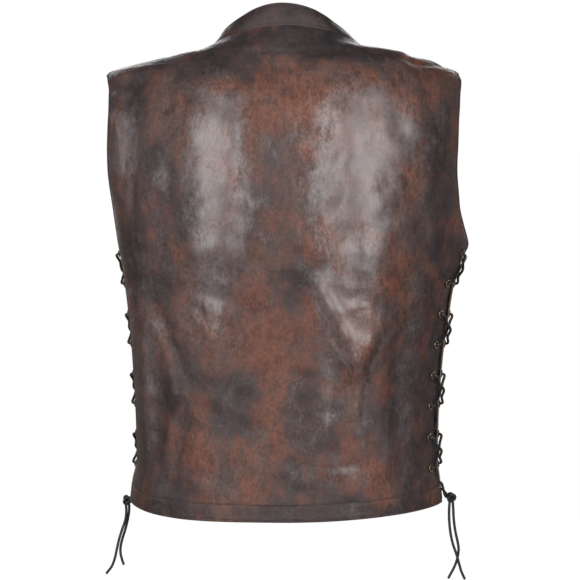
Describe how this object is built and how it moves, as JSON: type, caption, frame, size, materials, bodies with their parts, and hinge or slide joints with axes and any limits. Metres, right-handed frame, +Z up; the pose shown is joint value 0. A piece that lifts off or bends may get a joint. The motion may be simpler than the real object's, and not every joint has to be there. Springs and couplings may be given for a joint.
{
  "type": "leather vest with laced sides",
  "caption": "Sleeveless hip-length leather vest, worn shape, with a one-piece back, stand collar, snap front and sides laced through metal eyelets with knotted cord",
  "frame": {"origin": "midway between the shoulders, at the height of their ridge, where the wearer's shoulders carry the vest", "axes": "+Z up, -Y out of the wearer's back, +X to the wearer's right hand"},
  "size_m": [0.4809, 0.2428, 0.7495],
  "materials": {
    "leather": "waxed and hand-rubbed, dark brown over rust, semi-gloss",
    "brass": "antiqued",
    "lace": "round black lace, matt"
  },
  "bodies": {
    "root": {"back_panel": "leather", "front_left": "leather", "front_right": "leather", "collar": "leather", "eyelet_backright_1": "brass", "eyelet_backright_2": "brass", "eyelet_backright_3": "brass", "eyelet_backright_4": "brass", "eyelet_backright_5": "brass", "eyelet_backright_6": "brass", "eyelet_backright_7": "brass", "eyelet_backright_8": "brass", "eyelet_backleft_1": "brass", "eyelet_backleft_2": "brass", "eyelet_backleft_3": "brass", "eyelet_backleft_4": "brass", "eyelet_backleft_5": "brass", "eyelet_backleft_6": "brass", "eyelet_backleft_7": "brass", "eyelet_backleft_8": "brass", "eyelet_frontright_1": "brass", "eyelet_frontright_2": "brass", "eyelet_frontright_3": "brass", "eyelet_frontright_4": "brass", "eyelet_frontright_5": "brass", "eyelet_frontright_6": "brass", "eyelet_frontright_7": "brass", "eyelet_frontright_8": "brass", "eyelet_frontleft_1": "brass", "eyelet_frontleft_2": "brass", "eyelet_frontleft_3": "brass", "eyelet_frontleft_4": "brass", "eyelet_frontleft_5": "brass", "eyelet_frontleft_6": "brass", "eyelet_frontleft_7": "brass", "eyelet_frontleft_8": "brass", "snap_1": "brass", "snap_2": "brass", "snap_3": "brass", "snap_4": "brass", "snap_5": "brass", "snap_6": "brass", "lace_right": "lace", "lace_left": "lace", "knot_right": "lace", "knot_left": "lace", "lace_end_right_1": "lace", "lace_end_right_2": "lace", "lace_end_left_1": "lace", "lace_end_left_2": "lace"}
  },
  "joints": []
}
